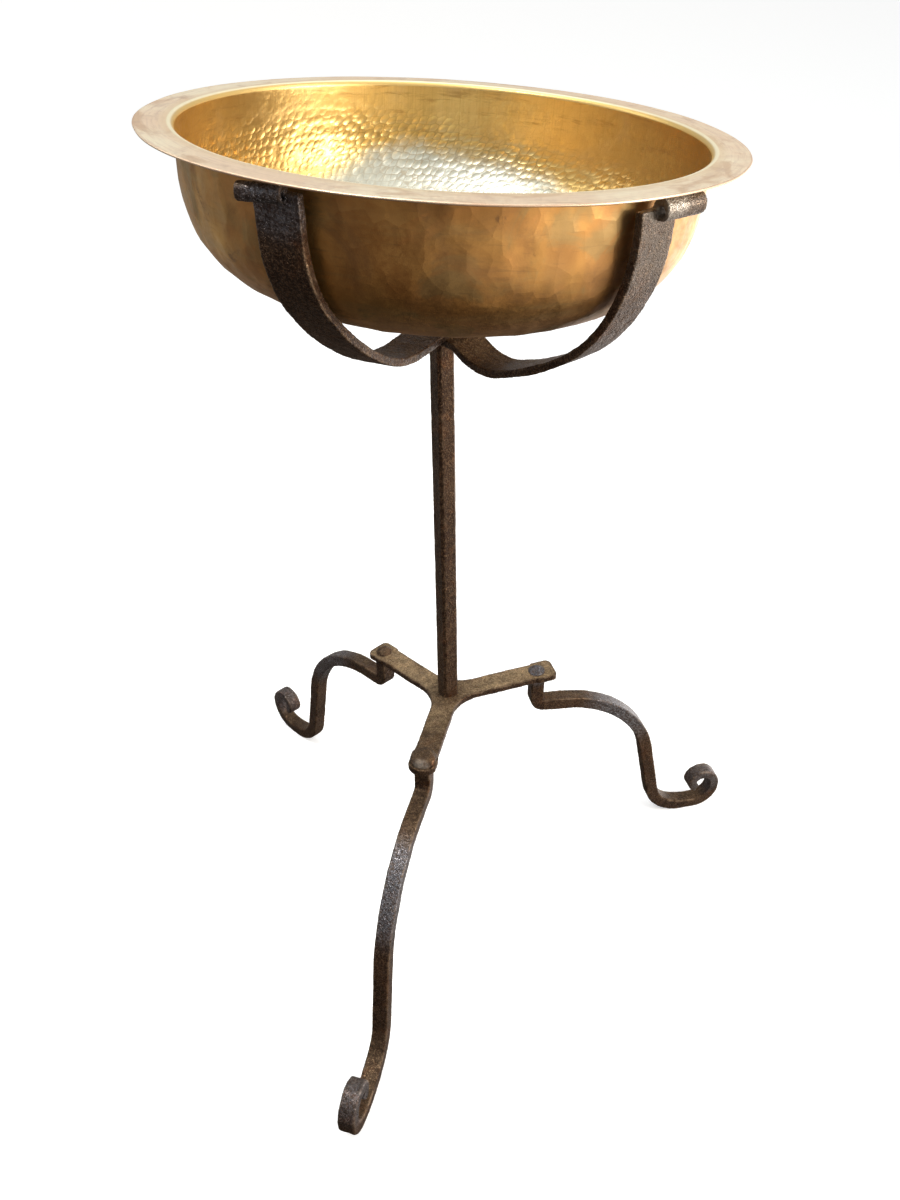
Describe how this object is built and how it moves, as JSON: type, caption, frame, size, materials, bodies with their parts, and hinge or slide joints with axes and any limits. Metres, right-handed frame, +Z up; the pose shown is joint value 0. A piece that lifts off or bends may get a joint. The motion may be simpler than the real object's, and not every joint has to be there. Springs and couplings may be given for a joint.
{
  "type": "baptismal font",
  "caption": "Standing font: hammered brass bowl with a wide flat rim, resting in a cradle of crossed iron bars on a square post and scrolled tripod legs.",
  "frame": {"origin": "on the floor, on the axis of the post", "axes": "+Z up along the post; -Y towards the front leg's foot; +X to the right of a person facing the front leg"},
  "size_m": [0.738, 0.7014, 1.0014],
  "materials": {
    "brass": "hammered, aged satin",
    "forged_iron": "forged, waxed, rust-brown"
  },
  "bodies": {
    "stand": {"post": "forged_iron", "hub_spider": "forged_iron", "cradle_bar_upper": "forged_iron", "cradle_bar_lower": "forged_iron", "leg_front": "forged_iron", "leg_left": "forged_iron", "leg_right": "forged_iron"},
    "bowl": {"bowl": "brass"}
  },
  "joints": [
    {"name": "bowl_lift", "type": "slide", "parent": "stand", "child": "bowl", "axis": [0.0644, 0.019, 0.9977], "range_m": [0, 0.25]}
  ]
}
